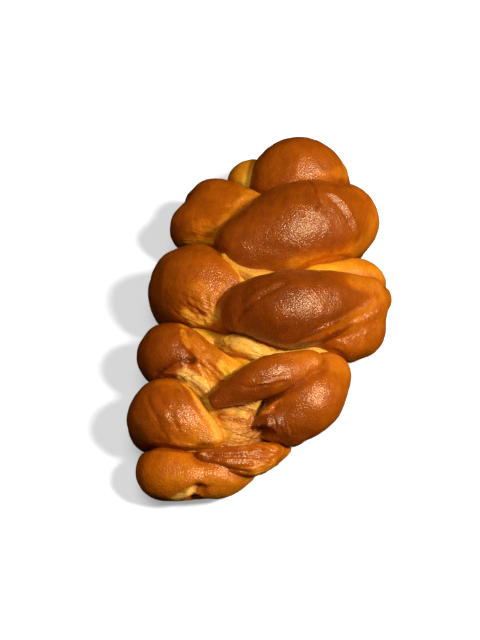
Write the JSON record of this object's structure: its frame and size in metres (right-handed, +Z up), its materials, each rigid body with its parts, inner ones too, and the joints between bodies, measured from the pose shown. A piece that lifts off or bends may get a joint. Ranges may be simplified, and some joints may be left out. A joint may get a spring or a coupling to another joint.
{
  "type": "braided loaf",
  "caption": "Whole baked loaf of plaited egg bread: plump golden lobes cross from a broad head to a narrow tail, with folds and creases between them and a flat underside.",
  "frame": {"origin": "middle of the loaf's length and width, on the tray plane that its underside rests on", "axes": "+X along the loaf towards its broad head, +Y to the left of someone who looks from the tail to the head, +Z up"},
  "size_m": [0.2738, 0.1558, 0.078],
  "materials": {
    "crust": "baked egg-washed bread crust: satin golden brown on the crowns, yellow in the folds"
  },
  "bodies": {
    "root": {"braided_loaf": "crust"}
  },
  "joints": []
}
